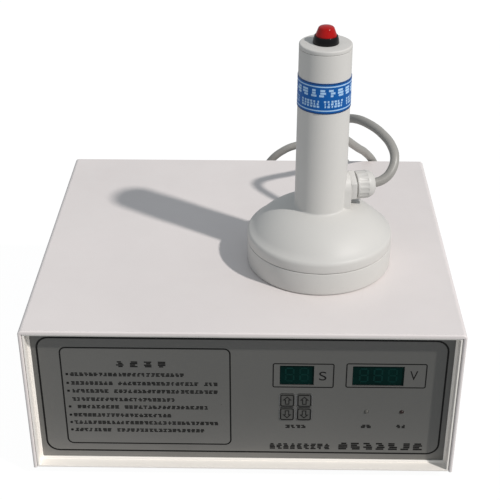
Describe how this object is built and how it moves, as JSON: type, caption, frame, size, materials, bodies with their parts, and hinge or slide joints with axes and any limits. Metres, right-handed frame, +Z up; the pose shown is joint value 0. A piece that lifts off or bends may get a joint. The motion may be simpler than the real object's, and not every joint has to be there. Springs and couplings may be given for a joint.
{
  "type": "induction cap sealer",
  "caption": "Hand-held induction sealer for bottle caps: a low steel power unit with a hooded panel, and a flared sealing head with a button on its handle, joined by a coiled cable.",
  "frame": {"origin": "centre of the bounding box in plan, at the level of the feet's undersides, without the cable", "axes": "+X to the right seen from the front panel, +Y from the front panel to the rear, +Z up"},
  "size_m": [0.29, 0.4005, 0.2949],
  "materials": {
    "painted_steel": "satin",
    "dark_steel": "satin",
    "cream_paint": "satin",
    "panel_print": "satin",
    "plate_aluminium": "satin",
    "green_filter": "gloss",
    "black_plastic": "satin",
    "rocker_black": "gloss",
    "board_green": "satin",
    "plated_steel": "plated",
    "guard_wire": "polished",
    "pale_lamp": "gloss",
    "dark_lamp": "gloss",
    "sink_aluminium": "matt",
    "capacitor_blue": "gloss",
    "capacitor_yellow": "gloss",
    "ferrite": "matt",
    "copper_wire": "enamelled",
    "black_rubber": "matt",
    "white_nylon": "satin",
    "blue_label": "satin",
    "red_lens": "gloss",
    "grey_cable": "satin"
  },
  "bodies": {
    "power_unit": {"case_cover": "painted_steel", "rear_panel": "painted_steel", "base_tray": "dark_steel", "front_frame": "cream_paint", "panel_film": "panel_print", "front_plate": "plate_aluminium", "time_window": "green_filter", "volt_window": "green_filter", "time_digits": "black_plastic", "volt_digits": "black_plastic", "key_switches": "black_plastic", "fan_frame": "black_plastic", "mains_inlet": "black_plastic", "power_switch": "black_plastic", "fuse_holder": "black_plastic", "power_transistors": "black_plastic", "bridge_rectifier": "black_plastic", "button_collar": "black_plastic", "button_switch": "black_plastic", "control_board": "board_green", "power_board": "board_green", "board_spacers": "plated_steel", "fan_screws": "plated_steel", "case_screws": "plated_steel", "inlet_pins": "plated_steel", "button_locknut": "plated_steel", "fan_guard": "guard_wire", "work_lamp": "pale_lamp", "ready_lamp": "dark_lamp", "heat_sink": "sink_aluminium", "filter_capacitors": "capacitor_blue", "resonant_capacitor": "capacitor_yellow", "transformer_core": "ferrite", "ferrite_bars": "ferrite", "transformer_winding": "copper_wire", "induction_coil": "copper_wire", "rubber_feet": "black_rubber", "head_housing": "white_nylon", "handle_cap": "white_nylon", "coil_cover": "white_nylon", "coil_former": "white_nylon", "head_gland_body": "white_nylon", "head_gland_nut": "white_nylon", "rear_gland_body": "white_nylon", "rear_gland_nut": "white_nylon", "rear_gland_locknut": "white_nylon", "label_band": "blue_label", "cable_from_head": "grey_cable", "cable_coil": "grey_cable", "cable_to_case": "grey_cable"},
    "button": {"button_lens": "red_lens"},
    "rocker": {"power_rocker": "rocker_black"},
    "rotor": {"fan_rotor": "black_plastic"},
    "key_tens_up": {"key_tens_up": "panel_print"},
    "key_units_up": {"key_units_up": "panel_print"},
    "key_tens_down": {"key_tens_down": "panel_print"},
    "key_units_down": {"key_units_down": "panel_print"}
  },
  "joints": [
    {"name": "button_press", "type": "slide", "parent": "power_unit", "child": "button", "axis": [0, 0, -1], "range_m": [0, 0.002], "stiffness_N_per_m": 400},
    {"name": "key_tens_up_press", "type": "slide", "parent": "power_unit", "child": "key_tens_up", "axis": [0, 1, 0], "range_m": [0, 0.0004], "stiffness_N_per_m": 1500},
    {"name": "key_units_up_press", "type": "slide", "parent": "power_unit", "child": "key_units_up", "axis": [0, 1, 0], "range_m": [0, 0.0004], "stiffness_N_per_m": 1500},
    {"name": "key_tens_down_press", "type": "slide", "parent": "power_unit", "child": "key_tens_down", "axis": [0, 1, 0], "range_m": [0, 0.0004], "stiffness_N_per_m": 1500},
    {"name": "key_units_down_press", "type": "slide", "parent": "power_unit", "child": "key_units_down", "axis": [0, 1, 0], "range_m": [0, 0.0004], "stiffness_N_per_m": 1500},
    {"name": "rocker_tip", "type": "hinge", "parent": "power_unit", "child": "rocker", "pos_m": [-0.008, 0.1165, 0.08], "axis": [1, 0, 0], "range_deg": [0, 18]},
    {"name": "fan_spin", "type": "hinge", "parent": "power_unit", "child": "rotor", "pos_m": [-0.085, 0.1035, 0.065], "axis": [0, 1, 0], "continuous": true}
  ]
}
